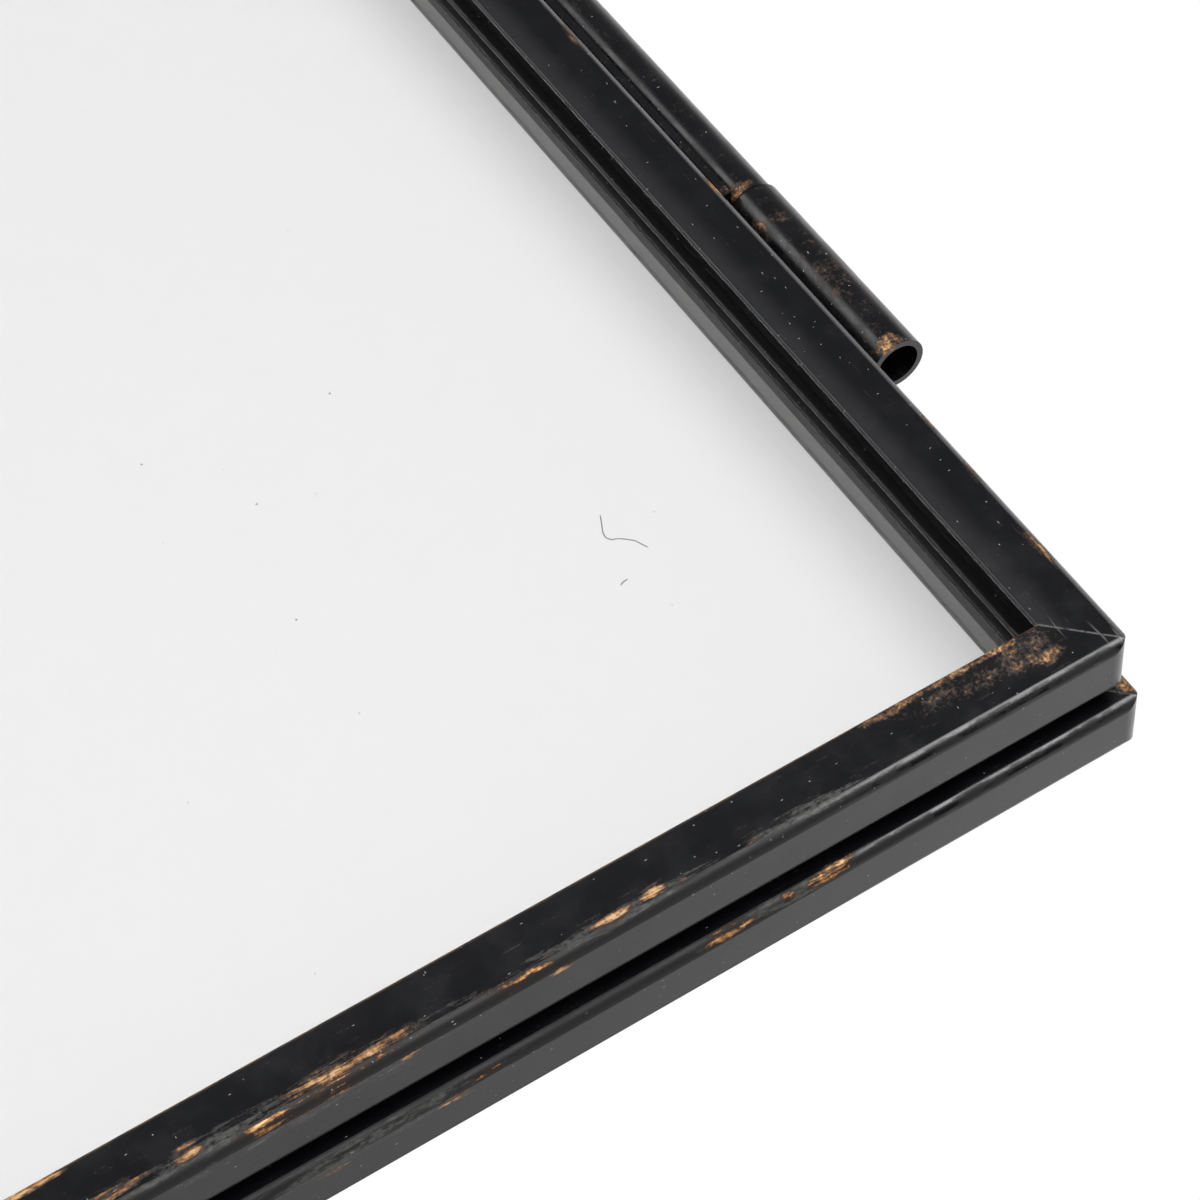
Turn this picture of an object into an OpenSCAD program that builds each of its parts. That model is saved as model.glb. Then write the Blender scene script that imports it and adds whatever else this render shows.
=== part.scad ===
// Hinged double-glass picture frame: two panes, each in its own frame of folded
// sheet-metal channel. The front leaf turns about a rolled hinge on its right side,
// a swing hook on the left keeps it shut, and the frame hangs by a ring at the top.
// It lies on its back: +X is right, +Y is the top of the picture, +Z is the viewer.

/* [Leaves] */
// Outer width of the front leaf
leaf_w = 150; // [110:1:260]
// Outer length of the front leaf
leaf_l = 200; // [150:1:320]
// Height of each folded channel, back to front
leaf_h = 5.2; // [5:0.1:7]
// Width of the channel's face
face_w = 5; // [4:0.1:7]
// Thickness of the folded sheet
sheet = 0.6; // [0.5:0.05:0.7]
// Outside radius of the folded edges
fold_r = 0.8; // [0.75:0.05:1]
// Plan radius that each leaf's outer corner is filed to
corner_r = 1.6; // [1:0.1:1.8]
// Space between the two closed leaves
leaf_gap = 1.4; // [1.2:0.1:2]
// How far the rear leaf stands out past the front leaf
rear_step = 0.9; // [0.5:0.1:1.1]

/* [Panes] */
// Thickness of each glass pane
pane_t = 2; // [1.8:0.1:2.2]
// Space between a pane's edge and the channel's wall
pane_play = 0.3; // [0.2:0.05:0.6]
// Radius on a pane's corners
pane_corner_r = 0.8; // [0.4:0.1:2]

/* [Packing] */
// How far the front packing stays back from the edge of the face
front_packing_back = 1.5; // [1:0.1:2]
// How far the rear packing stays back from the edge of the face
rear_packing_back = 0.15; // [0.1:0.05:0.6]
// Space left between two packing strips at a corner
packing_cut = 0.2; // [0.1:0.05:0.5]
// Leg of the solder fillet in each corner
solder_leg = 2.4; // [1.8:0.1:2.8]

/* [Spacer pads] */
// Length of a pad along the side rail
pad_l = 8; // [5:0.5:12]
// Width of a pad
pad_w = 3; // [2:0.1:3.2]
// How far a pad stays back from the front leaf's wall
pad_back = 1.2; // [1:0.1:1.6]
// Space between a pad and the closed front leaf
pad_play = 0.1; // [0.05:0.05:0.2]

/* [Hinge] */
// Distance of the hinge axis outside the front leaf's wall
hinge_out = 2.5; // [2.5:0.05:3]
// Depth of the hinge axis below the front face
hinge_down = 3.1; // [2.9:0.05:3.3]
// Outside radius of the rear leaf's knuckles
rear_knuckle_r = 2.35; // [2.2:0.05:2.4]
// Outside radius of the front leaf's knuckle
front_knuckle_r = 2.15; // [2.05:0.05:2.3]
// Radius of the hinge pin
pin_r = 1.75; // [1.6:0.05:1.8]
// Radial clearance of the pin in the front leaf's knuckle
pin_play = 0.05; // [0.03:0.01:0.08]
// Radial clearance of the pin in the rear leaf's knuckles
pin_seat_play = 0.08; // [0.05:0.01:0.1]
// Length of each rear knuckle
rear_knuckle_l = 20; // [15:0.5:30]
// Distance from the front leaf's end to the nearest knuckle
knuckle_from_end = 32.75; // [20:0.25:45]
// Gap between two knuckles
knuckle_gap = 0.25; // [0.15:0.05:0.4]
// How far the pin's ends lie inside the open knuckles
pin_recess = 3; // [1:0.5:6]
// Thickness of the straps that carry the knuckles
strap_t = 0.65; // [0.5:0.05:0.7]
// How far the front strap's upper edge lies below the front face
strap_drop = 0.4; // [0.3:0.05:1.3]
// How far the front strap reaches below the hinge axis
strap_tail = 1.4; // [0.8:0.1:1.6]
// How far the rear straps reach in between the leaves
strap_reach = 4; // [2.5:0.1:4.5]

/* [Latch] */
// Distance of the latch from the middle of the left rail
latch_y = -6; // [-40:1:40]
// Thickness of the hook's plate
hook_t = 0.8; // [0.6:0.05:1]
// Half width of the hook's arm
hook_half_w = 1.9; // [1.8:0.05:2]
// Radius of the hook's eye
hook_eye_r = 2.1; // [2:0.05:2.2]
// Radius of the pivot's shank
pivot_r = 1; // [0.9:0.05:1.1]
// Radial clearance of the pivot in the hook's eye
pivot_play = 0.05; // [0.03:0.01:0.08]
// Radius of the pivot's head and of the washer
pivot_head_r = 1.8; // [1.7:0.05:1.9]
// Thickness of the washer
washer_t = 0.3; // [0.2:0.05:0.5]
// Side play of the hook between the washer and the head
hook_side_play = 0.08; // [0.05:0.01:0.12]
// Radius of the stud that the hook catches
stud_r = 0.9; // [0.8:0.05:1]
// Radius of the stud's head
stud_head_r = 1.5; // [1.45:0.05:1.6]
// Space around the stud in the hook's slot
slot_play = 0.3; // [0.2:0.05:0.35]
// Height of the domed heads
head_h = 0.6; // [0.4:0.05:0.8]
// How far the thumb tab stands out from the hook's plate
thumb_out = 1.8; // [1.2:0.1:2.4]
// Thickness of the thumb tab
thumb_t = 0.7; // [0.5:0.05:0.8]

/* [Hanger] */
// Outside radius of the rolled eye
eye_r = 1.95; // [1.9:0.05:2.1]
// Radius of the hole in the eye
eye_bore_r = 1.2; // [1.15:0.05:1.25]
// Width of the eye along the top rail
eye_w = 3; // [2.5:0.1:3.4]
// Thickness of the plate that fixes the eye to the rail
eye_plate_t = 0.6; // [0.5:0.05:0.7]
// Width of the eye's plate along the top rail
eye_plate_w = 10; // [8:0.5:16]
// Radius of the hanging ring, to the middle of its wire
ring_r = 7; // [6.5:0.1:10]
// Radius of the ring's wire
wire_r = 0.8; // [0.7:0.05:0.85]

/* [Hidden] */
$fn = 64;

// Colours, as seen on the object
lacquer = "#1e1e20";
rubbed_lacquer = "#3a2c1e";
pin_brass = "#8a6136";
dark_rubber = "#2c2c2e";
clear_glass = [0.80, 0.86, 0.86, 0.35];

// One overrun for every cut
over = 1;

// Heights of the two leaves
front_z = leaf_h + leaf_gap;
top_z = front_z + leaf_h;

// Outer size of the rear leaf, whose inner edge lines up with the front leaf's
rear_w = leaf_w + 2 * rear_step;
rear_l = leaf_l + 2 * rear_step;
rear_face_w = face_w + rear_step;

// The packing fills what the pane leaves of a channel's inside height
channel_in = leaf_h - 2 * sheet;
packing_h = channel_in - pane_t;

// Edges that lie in a fold are eased a little more than the fold's inside radius
eased_r = fold_r - sheet + packing_cut / 2;

// Hinge axis and stations along Y
axis_x = leaf_w / 2 + hinge_out;
axis_z = top_z - hinge_down;
knuckle_end = leaf_l / 2 - knuckle_from_end;
knuckle_inner = knuckle_end - rear_knuckle_l;

// Latch: the pivot sits on the rear wall and the stud on the front wall above it
pivot_z = leaf_h / 2;
stud_z = front_z + leaf_h / 2;
hook_reach = stud_z - pivot_z;
rear_wall_x = -rear_w / 2;
front_wall_x = -leaf_w / 2;
slot_r = stud_r + slot_play;
hook_x = rear_wall_x - washer_t - hook_side_play;
thumb_x = hook_reach + stud_head_r + slot_play;
hook_len = thumb_x + thumb_t;

// Hanger: the eye sits at mid height of the rear leaf's top wall
eye_y = rear_l / 2 + eye_r;
eye_z = leaf_h / 2;
ring_tilt = asin((eye_z - wire_r) / (2 * ring_r));

// The whole part is moved so that its box is centred on the origin
x_low = hook_x - hook_t - max(thumb_out, hook_side_play + head_h);
x_high = axis_x + rear_knuckle_r;
y_low = -rear_l / 2;
y_high = eye_y + ring_r * cos(ring_tilt) + ring_r * cos(ring_tilt) + wire_r;
shift_x = -(x_low + x_high) / 2;
shift_y = -(y_low + y_high) / 2;

// Moves a piece from the leaves' centre to the part's own frame
module place() {
    translate([shift_x, shift_y, 0]) children();
}

// Rectangle with round corners, centred, with true arcs
module round_rect(w, l, r) {
    square([w - 2 * r, l], center = true);
    square([w, l - 2 * r], center = true);
    for (sx = [-1, 1], sy = [-1, 1])
        translate([sx * (w / 2 - r), sy * (l / 2 - r)]) circle(r);
}

// Section of a channel: wall at x = 0, faces to -X with rounded lips, height from 0.
// A closed box with folded corners is hollowed and cut open at the lips.
module channel_section(face) {
    lip = sheet / 2;
    difference() {
        translate([-face, leaf_h / 2]) difference() {
            round_rect(2 * face, leaf_h, fold_r);
            round_rect(2 * face - 2 * sheet, channel_in, fold_r - sheet);
        }
        translate([lip - 3 * face, -over]) square([2 * face, leaf_h + 2 * over]);
    }
    for (z = [lip, leaf_h - lip]) translate([lip - face, z]) circle(lip);
}

// Plan area that belongs to one side of a leaf, between its two mitre lines.
// The side is the right one, and in_cut pulls both mitre lines in.
module mitre_area(w, l, depth, in_cut) {
    x = w / 2;
    y = l / 2 - in_cut * sqrt(2);
    polygon([[x, y], [x + over, y + over], [x + over, -y - over], [x, -y],
             [x - depth, -y + depth], [x - depth, y - depth]]);
}

// One rail of a leaf: the channel along the right side, mitred and filed round
module side_rail(w, l, face) {
    intersection() {
        translate([w / 2, l / 2 + over, 0]) rotate([90, 0, 0])
            linear_extrude(l + 2 * over) channel_section(face);
        linear_extrude(leaf_h) intersection() {
            mitre_area(w, l, face + over, 0);
            round_rect(w, l, corner_r);
        }
    }
}

// The same rail at one of four sides: 0 right, 1 top, 2 left, 3 bottom
module rail(w, l, face, side) {
    across = side % 2 == 0 ? w : l;
    along = side % 2 == 0 ? l : w;
    rotate([0, 0, 90 * side]) side_rail(across, along, face);
}

// Space inside a leaf's four channels, its edges eased where they lie in the folds
module channel_space(w, l) {
    in_w = w - 2 * sheet;
    in_l = l - 2 * sheet;
    translate([0, 0, channel_in / 2]) intersection() {
        translate([0, in_l / 2, 0]) rotate([90, 0, 0])
            linear_extrude(in_l) round_rect(in_w, channel_in, eased_r);
        translate([-in_w / 2, 0, 0]) rotate([90, 0, 90])
            linear_extrude(in_w) round_rect(in_l, channel_in, eased_r);
    }
}

// Cuts a plan to the layer behind the pane (low) or in front of it
module packed_layer(w, l, low) {
    intersection() {
        channel_space(w, l);
        translate([0, 0, low ? -over : pane_t]) linear_extrude(packing_h + over) children();
    }
}

// Plan of the solder fillets in the four inside corners of a channel frame
module solder_corners(w, l, leg) {
    for (sx = [0, 1], sy = [0, 1]) mirror([sx, 0]) mirror([0, sy])
        translate([w / 2 - sheet, l / 2 - sheet])
            polygon([[over, over], [-leg - over, over], [over, -leg - over]]);
}

// Plan of the four packing strips, mitred and cut back for the solder
module packing_strips(w, l, depth) {
    difference() {
        for (side = [0:3]) {
            across = (side % 2 == 0 ? w : l) - 2 * sheet;
            along = (side % 2 == 0 ? l : w) - 2 * sheet;
            rotate(90 * side) mitre_area(across, along, depth - sheet, packing_cut / 2);
        }
        solder_corners(w, l, solder_leg + packing_cut);
    }
}

// A pane that fills a leaf's channels but for its play
module pane(w, l) {
    edge = sheet + pane_play;
    linear_extrude(pane_t) round_rect(w - 2 * edge, l - 2 * edge, pane_corner_r);
}

module rear_rail_bottom() { color(lacquer) place() rail(rear_w, rear_l, rear_face_w, 3); }
module rear_rail_right() { color(lacquer) place() rail(rear_w, rear_l, rear_face_w, 0); }
module rear_rail_top() { color(lacquer) place() rail(rear_w, rear_l, rear_face_w, 1); }
module rear_rail_left() { color(lacquer) place() rail(rear_w, rear_l, rear_face_w, 2); }

module front_rail_bottom() {
    color(lacquer) place() translate([0, 0, front_z]) rail(leaf_w, leaf_l, face_w, 3);
}
module front_rail_right() {
    color(lacquer) place() translate([0, 0, front_z]) rail(leaf_w, leaf_l, face_w, 0);
}
module front_rail_top() {
    color(lacquer) place() translate([0, 0, front_z]) rail(leaf_w, leaf_l, face_w, 1);
}
module front_rail_left() {
    color(lacquer) place() translate([0, 0, front_z]) rail(leaf_w, leaf_l, face_w, 2);
}

// The rear pane lies against the inner face, with its packing behind it
module rear_corner_solder() {
    color(lacquer) place() translate([0, 0, sheet])
        packed_layer(rear_w, rear_l, true) solder_corners(rear_w, rear_l, solder_leg);
}
module rear_packing() {
    color(dark_rubber) place() translate([0, 0, sheet]) packed_layer(rear_w, rear_l, true)
        packing_strips(rear_w, rear_l, rear_face_w - rear_packing_back);
}
module rear_pane() {
    color(clear_glass) place() translate([0, 0, sheet + packing_h]) pane(rear_w, rear_l);
}

// The front pane lies against the inner face too, with its packing in front of it
module front_corner_solder() {
    color(lacquer) place() translate([0, 0, front_z + sheet])
        packed_layer(leaf_w, leaf_l, false) solder_corners(leaf_w, leaf_l, solder_leg);
}
module front_packing() {
    color(dark_rubber) place() translate([0, 0, front_z + sheet])
        packed_layer(leaf_w, leaf_l, false)
            packing_strips(leaf_w, leaf_l, face_w - front_packing_back);
}
module front_pane() {
    color(clear_glass) place() translate([0, 0, front_z + sheet]) pane(leaf_w, leaf_l);
}

// Four pads on the rear leaf's side rails, which the closed front leaf rests on
module spacer_pads() {
    pad_x = leaf_w / 2 - pad_back - pad_w;
    pad_y = leaf_l / 2 - face_w - pad_l;
    color(dark_rubber) place()
        for (sx = [0, 1], sy = [0, 1]) mirror([sx, 0, 0]) mirror([0, sy, 0])
            translate([pad_x, pad_y, leaf_h]) cube([pad_w, pad_l, leaf_gap - pad_play]);
}

// Round bar along Y on the hinge axis
module along_axis(r, y_from, y_to) {
    translate([axis_x, y_to, axis_z]) rotate([90, 0, 0]) cylinder(r = r, h = y_to - y_from);
}

// Knuckle of the rear leaf: a rolled tube whose strap drops beside the front leaf's
// wall and turns in between the leaves, where it is soldered to the rear leaf's face
module rear_knuckle(y_from) {
    y_to = y_from + rear_knuckle_l;
    strap_x = axis_x - rear_knuckle_r;
    difference() {
        union() {
            along_axis(rear_knuckle_r, y_from, y_to);
            translate([strap_x, y_from, leaf_h])
                cube([strap_t, rear_knuckle_l, axis_z - leaf_h]);
            translate([strap_x - strap_reach, y_from, leaf_h])
                cube([strap_reach + strap_t, rear_knuckle_l, strap_t]);
        }
        along_axis(pin_r + pin_seat_play, y_from - over, y_to + over);
    }
}
module hinge_knuckle_lower() { color(lacquer) place() rear_knuckle(-knuckle_end); }
module hinge_knuckle_upper() { color(lacquer) place() rear_knuckle(knuckle_inner); }

// Knuckle of the front leaf: its strap lies flat on the front leaf's wall
module hinge_knuckle_middle() {
    y_to = knuckle_inner - knuckle_gap;
    strap_top = top_z - strap_drop;
    strap_low = axis_z - strap_tail;
    color(lacquer) place() difference() {
        union() {
            along_axis(front_knuckle_r, -y_to, y_to);
            translate([leaf_w / 2, -y_to, strap_low])
                cube([strap_t, 2 * y_to, strap_top - strap_low]);
        }
        along_axis(pin_r + pin_play, -y_to - over, y_to + over);
    }
}

// The pin runs through all three knuckles and has chamfered ends
module hinge_pin() {
    pin_half = knuckle_end - pin_recess;
    chamfer = pin_r / 4;
    color(pin_brass) place() translate([axis_x, 0, axis_z]) rotate([90, 0, 0])
        rotate_extrude() polygon([[0, -pin_half], [pin_r - chamfer, -pin_half],
                                  [pin_r, -pin_half + chamfer], [pin_r, pin_half - chamfer],
                                  [pin_r - chamfer, pin_half], [0, pin_half]]);
}

// Domed head on the XY plane, rising along +Z
module domed_head(r, h) {
    ball = (r * r + h * h) / (2 * h);
    rotate_extrude() intersection() {
        translate([0, h - ball]) circle(ball);
        square([r, h]);
    }
}

// Turns a piece that is built along +Z so that it stands out of the left wall
module out_of_left(x, z) {
    translate([x, latch_y, z]) rotate([0, -90, 0]) children();
}

// Pivot of the hook, soldered to the rear leaf's left wall
module latch_pivot() {
    shank = washer_t + hook_t + 2 * hook_side_play;
    color(rubbed_lacquer) place() out_of_left(rear_wall_x, pivot_z) {
        cylinder(r = pivot_r, h = shank);
        translate([0, 0, shank]) domed_head(pivot_head_r, head_h);
    }
}

module latch_washer() {
    color(rubbed_lacquer) place() out_of_left(rear_wall_x, pivot_z) difference() {
        cylinder(r = pivot_head_r, h = washer_t);
        translate([0, 0, -over]) cylinder(r = pivot_r + pivot_play, h = washer_t + 2 * over);
    }
}

// Stud on the front leaf's left wall, long enough to pass through the hook's plate
module latch_stud() {
    shank = front_wall_x - hook_x + hook_t + washer_t;
    color(rubbed_lacquer) place() out_of_left(front_wall_x, stud_z) {
        cylinder(r = stud_r, h = shank);
        translate([0, 0, shank]) domed_head(stud_head_r, head_h);
    }
}

// Outline of the hook, lying along +X with its eye at the origin and its slot open to +Y
module hook_outline() {
    difference() {
        union() {
            circle(hook_eye_r);
            translate([0, -hook_half_w]) square([hook_len, 2 * hook_half_w]);
        }
        circle(pivot_r + pivot_play);
        translate([hook_reach, 0]) circle(slot_r);
        intersection() {
            difference() {
                circle(hook_reach + slot_r);
                circle(hook_reach - slot_r);
            }
            translate([hook_half_w, 0]) square([hook_len, hook_len]);
        }
    }
}

// The hook lies open along the rail, and a quarter turn about its pivot closes it.
// Its end is bent out to a thumb tab that clears the head of the stud.
module latch_hook() {
    color(rubbed_lacquer) place() translate([hook_x, latch_y, pivot_z])
        rotate([90, 0, 90]) translate([0, 0, -hook_t]) {
            linear_extrude(hook_t) hook_outline();
            translate([thumb_x, -hook_half_w, -thumb_out])
                cube([thumb_t, 2 * hook_half_w, thumb_out + hook_t / 2]);
        }
}

// Rolled eye on the top wall of the rear leaf
module hanger_eye() {
    plate_h = leaf_h - 2 * fold_r;
    color(lacquer) place() difference() {
        union() {
            translate([-eye_w / 2, eye_y, eye_z]) rotate([0, 90, 0])
                cylinder(r = eye_r, h = eye_w);
            translate([-eye_plate_w / 2, rear_l / 2, eye_z - plate_h / 2])
                cube([eye_plate_w, eye_plate_t, plate_h]);
        }
        translate([-eye_w / 2 - over, eye_y, eye_z]) rotate([0, 90, 0])
            cylinder(r = eye_bore_r, h = eye_w + 2 * over);
    }
}

// The ring lies back with its far side on the surface that the frame lies on
module hanging_ring() {
    color(rubbed_lacquer) place() translate([0, eye_y, eye_z]) rotate([-ring_tilt, 0, 0])
        translate([0, ring_r, 0]) rotate_extrude() translate([ring_r, 0]) circle(wire_r);
}

rear_rail_bottom();
rear_rail_right();
rear_rail_top();
rear_rail_left();
rear_corner_solder();
rear_pane();
rear_packing();
spacer_pads();
front_rail_bottom();
front_rail_right();
front_rail_top();
front_rail_left();
front_corner_solder();
front_pane();
front_packing();
hinge_knuckle_lower();
hinge_knuckle_middle();
hinge_knuckle_upper();
hinge_pin();
latch_pivot();
latch_washer();
latch_hook();
latch_stud();
hanger_eye();
hanging_ring();
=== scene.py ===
# %% [markdown]
# # A hinged double-glass picture frame
#
# The packed model brings the shapes: two leaves of folded channel, their panes, the
# hinge, the hook and the ring. This script gives them their looks and sets up the
# photograph: camera, light and white table. Lengths are in metres, in the part's own
# frame: +X to the hinge side, +Y to the top of the picture, +Z towards the viewer.

# %% Load the packed model
import math
from types import SimpleNamespace
import bpy
from mathutils import Matrix, Vector


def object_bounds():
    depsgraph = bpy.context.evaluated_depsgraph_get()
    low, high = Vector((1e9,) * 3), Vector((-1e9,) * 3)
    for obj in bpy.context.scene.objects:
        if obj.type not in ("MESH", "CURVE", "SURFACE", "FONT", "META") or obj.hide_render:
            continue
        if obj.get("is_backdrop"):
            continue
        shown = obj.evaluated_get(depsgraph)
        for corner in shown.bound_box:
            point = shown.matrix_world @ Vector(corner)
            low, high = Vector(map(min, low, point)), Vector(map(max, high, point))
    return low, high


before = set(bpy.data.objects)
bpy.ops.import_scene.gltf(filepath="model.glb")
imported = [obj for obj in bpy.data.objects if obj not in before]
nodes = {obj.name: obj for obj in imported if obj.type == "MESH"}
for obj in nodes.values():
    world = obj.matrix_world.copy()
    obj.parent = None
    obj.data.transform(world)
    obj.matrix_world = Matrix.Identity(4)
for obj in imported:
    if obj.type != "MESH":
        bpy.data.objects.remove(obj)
low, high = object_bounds()
print("nodes:", len(nodes), "size in mm:", [round((b - a) * 1000, 2) for a, b in zip(low, high)])

# %% [markdown]
# ## Camera
#
# The photograph is a close view of one corner, from the front left and above, through a
# long lens. A camera can be turned by hand until the picture fits, but then nobody knows
# how well. Here the rails' edges were measured in the photograph, and the place and the
# direction were worked out that lay the model's edges on them. The direction is kept as
# two axes: `BACK` points from the frame to the lens, and `RIGHT` is the picture's own
# right, which also holds the slight roll.

# %% Camera
LENS_MM = 106.8
SENSOR_MM = 36.0
NEAREST = 0.01
FARTHEST = 20.0
# The place in metres and the two directions, all in the part's own frame.
PLACE = Vector((-0.027350, -0.221650, 0.215560))
BACK = Vector((-0.28258, -0.53702, 0.79483)).normalized()
RIGHT = Vector((0.84716, -0.52839, -0.05581))

camera_data = bpy.data.cameras.new("camera")
camera_data.lens = LENS_MM
camera_data.sensor_width = SENSOR_MM
camera_data.clip_start = NEAREST
camera_data.clip_end = FARTHEST
camera = bpy.data.objects.new("camera", camera_data)
bpy.context.scene.collection.objects.link(camera)
square_right = (RIGHT - RIGHT.dot(BACK) * BACK).normalized()
turn = Matrix((square_right, BACK.cross(square_right), BACK)).transposed().to_4x4()
camera.matrix_world = Matrix.Translation(PLACE) @ turn
bpy.context.scene.camera = camera
print("camera at", [round(v, 4) for v in camera.location])

# %% [markdown]
# ## Measures taken from the model
#
# The marks of wear are often less than a millimetre wide, so they are written in mm.
# They have to lie on a fold of the sheet and not beside it. If the folds' places were
# typed in, the script would fit one size only. Here they are read from the pieces, so
# that the marks go with them.

# %% Measures
MM = 1000.0


def box_mm(names):
    """The box around some CAD nodes, as its low and its high corner in mm."""
    points = [vertex.co * MM for name in names for vertex in nodes[name].data.vertices]
    corners = [[pick(point[i] for point in points) for i in range(3)] for pick in (min, max)]
    return SimpleNamespace(low=corners[0], high=corners[1])


SIDES = ("bottom", "right", "top", "left")
LEAVES = {leaf: box_mm([f"{leaf}_rail_{side}" for side in SIDES]) for leaf in ("front", "rear")}
for leaf, box in LEAVES.items():
    print(leaf, "leaf in mm:", [round(value, 2) for value in box.low + box.high])

CENTRE = [(a + b) / 2 for a, b in zip(LEAVES["front"].low, LEAVES["front"].high)]
RIGHT_RAIL = box_mm(["front_rail_right"])
TOP_RAIL = box_mm(["front_rail_top"])
# Half the width and half the height of the opening between the rails.
OPENING = [round(RIGHT_RAIL.low[0] - CENTRE[0], 2), round(TOP_RAIL.low[1] - CENTRE[1], 2)]
print("opening in mm:", [2 * half for half in OPENING])

# %% [markdown]
# ## Ways to add nodes
#
# A Blender material is a tree of nodes. It can be drawn with the mouse, but a large tree
# is hard to read, and hard to repeat for a dozen finishes. Here each kind of node has a
# short method. Most of them return the new node's output, so a material reads like a
# formula.

# %% Nodes
class Nodes:
    """A node tree and short ways to add nodes to it."""

    def __init__(self, tree):
        self.tree = tree

    def link(self, value, socket):
        """Joins an output to a socket, or writes a plain value into it."""
        if isinstance(value, bpy.types.NodeSocket):
            self.tree.links.new(value, socket)
        else:
            socket.default_value = value

    def fill(self, node, values):
        """Fills a node's first inputs in order."""
        for socket, value in zip(node.inputs, values):
            self.link(value, socket)

    def math(self, kind, first, second=0.0, clamp=False):
        """A sum on one or two numbers. The kind is Blender's name for it."""
        node = self.tree.nodes.new("ShaderNodeMath")
        node.operation = kind
        node.use_clamp = clamp
        self.fill(node, (first, second))
        return node.outputs[0]

    def times(self, first, second):
        """One number times another; for masks, where both are set."""
        return self.math("MULTIPLY", first, second)

    def most(self, values):
        """The largest of some numbers; for masks, where any is set."""
        result = values[0]
        for value in values[1:]:
            result = self.math("MAXIMUM", result, value)
        return result

    def vector(self, kind, first, second=(0, 0, 0), scale=1.0):
        """A sum on one or two places. The node keeps its scale in input 3."""
        node = self.tree.nodes.new("ShaderNodeVectorMath")
        node.operation = kind
        self.fill(node, (first, second))
        self.link(scale, node.inputs[3])
        return node.outputs["Value" if kind in ("LENGTH", "DISTANCE", "DOT_PRODUCT") else "Vector"]

    def split(self, value):
        """The X, Y and Z of a place, or the three parts of a colour."""
        node = self.tree.nodes.new("ShaderNodeSeparateXYZ")
        self.fill(node, (value,))
        return node.outputs

    def ramp(self, value, start, end, first=0.0, last=1.0, smooth=True):
        """Goes from first, where the value is at start, to last, where it is at end."""
        node = self.tree.nodes.new("ShaderNodeMapRange")
        node.interpolation_type = "SMOOTHSTEP" if smooth else "LINEAR"
        self.fill(node, (value, start, end, first, last))
        return node.outputs[0]

    def rays(self):
        """What kind of ray asks: seen by the camera, mirrored, bent, in shadow."""
        return self.tree.nodes.new("ShaderNodeLightPath").outputs

    def show(self, share, first, second, output):
        """Sends two shaders to the output, the second one with the given share."""
        node = self.tree.nodes.new("ShaderNodeMixShader")
        self.fill(node, (share, first, second))
        self.link(node.outputs[0], self.tree.nodes[output].inputs["Surface"])


print("ways to add nodes:", [name for name in vars(Nodes) if not name.startswith("_")])

# %% [markdown]
# ## A material and its own millimetres
#
# Grain and wear could come from pictures wrapped round each piece, but those have to be
# unwrapped and get coarse this close. Masks worked out from a point's own place are sharp
# at any distance. The place is taken in the piece's own coordinates, so a mark stays on
# its rail when the leaf swings open.

# %% Paint
class Paint(Nodes):
    """A new material whose masks are worked out in mm, in the part's own frame."""

    def __init__(self, name):
        self.material = bpy.data.materials.new(name)
        self.material.use_nodes = True
        super().__init__(self.material.node_tree)
        self.shader = self.tree.nodes["Principled BSDF"]
        self.place = self.tree.nodes.new("ShaderNodeTexCoord").outputs
        self.mm = self.vector("SCALE", self.place["Object"], scale=MM)

    def give(self, name, value):
        """Gives a value or an output to one of the shader's own sockets."""
        self.link(value, self.shader.inputs[name])

    def mix(self, share, under, over):
        """One colour over another. The node keeps its two colours in inputs 6 and 7."""
        node = self.tree.nodes.new("ShaderNodeMix")
        node.data_type = "RGBA"
        self.link(share, node.inputs[0])
        self.link(under, node.inputs[6])
        self.link(over, node.inputs[7])
        return node.outputs[2]


print("ways to paint:", [name for name in vars(Paint) if not name.startswith("_")])

# %% [markdown]
# ## Lacquer: bends and flats
#
# The rails are brass sheet, folded into channels and lacquered black. Most of what can be
# seen on them goes by the bend: lacquer rubs off a bend first, dust and scratches catch
# there, and flats stay glossy. The bends could be picked out face by face. Here they are
# read from the direction of the surface, because that also works on the small fittings:
# `up` is 1 where a face is level, and `tilt` is 0 on flats and 0.5 halfway round a bend.

# %% Bends and flats
BEND = (0.3, 0.9)


def find_bends(coat):
    """Adds up, tilt and fold, which is 1 on the bends and 0 on flat faces."""
    coat.up = coat.math("ABSOLUTE", coat.split(coat.place["Normal"])[2])
    side = coat.math("SQRT", coat.math("SUBTRACT", 1.0, coat.times(coat.up, coat.up)))
    coat.tilt = coat.times(coat.up, side)
    coat.fold = coat.ramp(coat.times(coat.tilt, 2.0), *BEND)


print("the fold begins where twice the tilt is", BEND[0], "and is full from", BEND[1])

# %% [markdown]
# ## Lacquer: grain
#
# Hands and cloths rub along a rail, so worn places break up into streaks along it. Near
# the mitre, where a file went in all directions, they break up into mottled blots. Both
# could be one noise, but then all worn places would look alike. Here one noise is drawn
# out along the rail and the other is left round. Each mask starts at the first number of
# its pair and is full at the second.

# %% Noise
def noise(coat, scale, detail=3.0, rough=0.5, stretch=(1, 1, 1), shift=(0, 0, 0)):
    """Noise about 0.5 whose grains are 1/scale mm wide, longer where stretch is small."""
    at = coat.vector("MULTIPLY", coat.mm, stretch)
    at = coat.vector("ADD", at, shift)
    node = coat.tree.nodes.new("ShaderNodeTexNoise")
    coat.link(at, node.inputs["Vector"])
    for name, value in (("Scale", scale), ("Detail", detail), ("Roughness", rough)):
        node.inputs[name].default_value = value
    return node.outputs["Fac"]


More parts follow.
